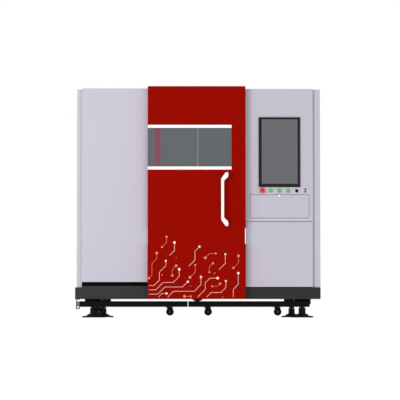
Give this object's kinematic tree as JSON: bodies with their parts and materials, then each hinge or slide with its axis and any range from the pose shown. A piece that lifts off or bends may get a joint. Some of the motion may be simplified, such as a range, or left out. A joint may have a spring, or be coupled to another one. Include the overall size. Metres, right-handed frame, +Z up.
{
  "type": "enclosed fiber laser cutting machine",
  "caption": "Enclosed sheet-metal laser cutter: grey cabinet, red hinged front door with smoked window and pull handle, console with portrait screen, gantry inside, levelling feet.",
  "frame": {"origin": "on the floor, under the middle of the machine's box", "axes": "+X to the operator's right, -Y towards the operator, +Z up"},
  "size_m": [2.058, 2.2, 1.943],
  "materials": {
    "panel_paint": "satin powder coat, fine orange peel",
    "red_paint": "satin red powder coat",
    "base_paint": "matt dark grey paint",
    "black_paint": "satin black paint",
    "caster_rubber": "dull black tread",
    "seal_rubber": "matt black bulb seal",
    "bright_steel": "ground and brushed",
    "galvanised_steel": "zinc plated sheet",
    "source_paint": "light grey equipment paint",
    "black_plastic": "fine moulded grain",
    "screen_glass": "switched-off screen, smooth",
    "smoked_window": "smoked filter sheet, glossy",
    "white_trim": "gloss white",
    "yellow_plastic": "moulded yellow",
    "red_plastic": "gloss red",
    "green_plastic": "gloss green lens",
    "machined_aluminium": "machined",
    "head_anodised": "dark anodised"
  },
  "bodies": {
    "enclosure": {"plinth": "base_paint", "floor_plate": "base_paint", "toe_strip": "black_paint", "left_front_panel": "panel_paint", "left_side_panel": "panel_paint", "right_side_panel": "panel_paint", "console_fascia": "panel_paint", "roof_panel": "panel_paint", "rear_panel": "panel_paint", "partition_wall": "panel_paint", "door_frame": "base_paint", "door_seal": "seal_rubber", "hinge_brackets": "bright_steel", "base_rails": "black_paint", "foot_brackets": "black_paint", "rail_end_fitting": "black_paint", "bed_frame": "base_paint", "y_guides": "bright_steel", "table_slats": "bright_steel", "slag_tray": "galvanised_steel", "laser_source": "source_paint", "control_plate": "source_paint", "monitor_housing": "black_plastic", "monitor_screen": "screen_glass", "panel_bezels": "black_plastic", "drawer_rails": "bright_steel", "exhaust_collar": "bright_steel", "interlock_switch": "yellow_plastic"},
    "door": {"door_skin": "red_paint", "door_liner": "galvanised_steel", "window_panes": "smoked_window", "window_stripes": "white_trim", "door_handle": "white_trim", "door_pivot_pins": "bright_steel", "door_edge_plates": "galvanised_steel"},
    "drawer": {"drawer_box": "panel_paint", "drawer_pull": "white_trim", "keyboard": "black_plastic"},
    "service_door": {"service_door": "panel_paint", "service_pins": "bright_steel"},
    "estop": {"estop_button": "red_plastic"},
    "start": {"start_button": "green_plastic"},
    "pause": {"pause_button": "green_plastic"},
    "resume": {"resume_button": "green_plastic"},
    "reset": {"reset_button": "black_plastic"},
    "gantry": {"gantry_beam": "machined_aluminium"},
    "carriage": {"x_carriage": "machined_aluminium"},
    "head": {"cutting_head": "head_anodised"},
    "foot_front_left": {"foot_front_left": "black_paint"},
    "foot_front_right": {"foot_front_right": "black_paint"},
    "foot_rear_left": {"foot_rear_left": "black_paint"},
    "foot_rear_right": {"foot_rear_right": "black_paint"},
    "fork_1": {"caster_fork_1": "black_paint"},
    "wheel_1": {"caster_wheel_1": "caster_rubber"},
    "fork_2": {"caster_fork_2": "black_paint"},
    "wheel_2": {"caster_wheel_2": "caster_rubber"},
    "fork_3": {"caster_fork_3": "black_paint"},
    "wheel_3": {"caster_wheel_3": "caster_rubber"},
    "fork_4": {"caster_fork_4": "black_paint"},
    "wheel_4": {"caster_wheel_4": "caster_rubber"}
  },
  "joints": [
    {"name": "door_hinge", "type": "hinge", "parent": "enclosure", "child": "door", "pos_m": [-0.407, -1.021, 1.05], "axis": [0, 0, -1], "range_deg": [0, 105]},
    {"name": "drawer_slide", "type": "slide", "parent": "enclosure", "child": "drawer", "axis": [0, -1, 0], "range_m": [0, 0.32]},
    {"name": "service_door_hinge", "type": "hinge", "parent": "enclosure", "child": "service_door", "pos_m": [0.959, -0.982, 0.53], "axis": [0, 0, 1], "range_deg": [0, 100]},
    {"name": "estop_press", "type": "slide", "parent": "enclosure", "child": "estop", "axis": [0, 1, 0], "range_m": [0, 0.005], "stiffness_N_per_m": 2500, "springref_m": -0.002},
    {"name": "start_press", "type": "slide", "parent": "enclosure", "child": "start", "axis": [0, 1, 0], "range_m": [0, 0.004], "stiffness_N_per_m": 1500, "springref_m": -0.002},
    {"name": "pause_press", "type": "slide", "parent": "enclosure", "child": "pause", "axis": [0, 1, 0], "range_m": [0, 0.004], "stiffness_N_per_m": 1500, "springref_m": -0.002},
    {"name": "resume_press", "type": "slide", "parent": "enclosure", "child": "resume", "axis": [0, 1, 0], "range_m": [0, 0.004], "stiffness_N_per_m": 1500, "springref_m": -0.002},
    {"name": "reset_press", "type": "slide", "parent": "enclosure", "child": "reset", "axis": [0, 1, 0], "range_m": [0, 0.004], "stiffness_N_per_m": 1500, "springref_m": -0.002},
    {"name": "gantry_y", "type": "slide", "parent": "enclosure", "child": "gantry", "axis": [0, 1, 0], "range_m": [-1.15, 0.1]},
    {"name": "carriage_x", "type": "slide", "parent": "gantry", "child": "carriage", "axis": [1, 0, 0], "range_m": [-0.45, 0.41]},
    {"name": "head_z", "type": "slide", "parent": "carriage", "child": "head", "axis": [0, 0, 1], "range_m": [-0.05, 0.03]},
    {"name": "foot_front_left_level", "type": "slide", "parent": "enclosure", "child": "foot_front_left", "axis": [0, 0, -1], "range_m": [0, 0.03]},
    {"name": "foot_front_right_level", "type": "slide", "parent": "enclosure", "child": "foot_front_right", "axis": [0, 0, -1], "range_m": [0, 0.03]},
    {"name": "foot_rear_left_level", "type": "slide", "parent": "enclosure", "child": "foot_rear_left", "axis": [0, 0, -1], "range_m": [0, 0.03]},
    {"name": "foot_rear_right_level", "type": "slide", "parent": "enclosure", "child": "foot_rear_right", "axis": [0, 0, -1], "range_m": [0, 0.03]},
    {"name": "caster_swivel_1", "type": "hinge", "parent": "enclosure", "child": "fork_1", "pos_m": [-0.836, -0.965, 0.09], "axis": [0, 0, 1], "continuous": true},
    {"name": "caster_spin_1", "type": "hinge", "parent": "fork_1", "child": "wheel_1", "pos_m": [-0.83, -0.965, 0.049], "axis": [0, 1, 0], "continuous": true},
    {"name": "caster_swivel_2", "type": "hinge", "parent": "enclosure", "child": "fork_2", "pos_m": [-0.24, -0.965, 0.09], "axis": [0, 0, 1], "continuous": true},
    {"name": "caster_spin_2", "type": "hinge", "parent": "fork_2", "child": "wheel_2", "pos_m": [-0.234, -0.965, 0.049], "axis": [0, 1, 0], "continuous": true},
    {"name": "caster_swivel_3", "type": "hinge", "parent": "enclosure", "child": "fork_3", "pos_m": [0.08, -0.965, 0.09], "axis": [0, 0, 1], "continuous": true},
    {"name": "caster_spin_3", "type": "hinge", "parent": "fork_3", "child": "wheel_3", "pos_m": [0.086, -0.965, 0.049], "axis": [0, 1, 0], "continuous": true},
    {"name": "caster_swivel_4", "type": "hinge", "parent": "enclosure", "child": "fork_4", "pos_m": [0.663, -0.965, 0.09], "axis": [0, 0, 1], "continuous": true},
    {"name": "caster_spin_4", "type": "hinge", "parent": "fork_4", "child": "wheel_4", "pos_m": [0.669, -0.965, 0.049], "axis": [0, 1, 0], "continuous": true}
  ]
}
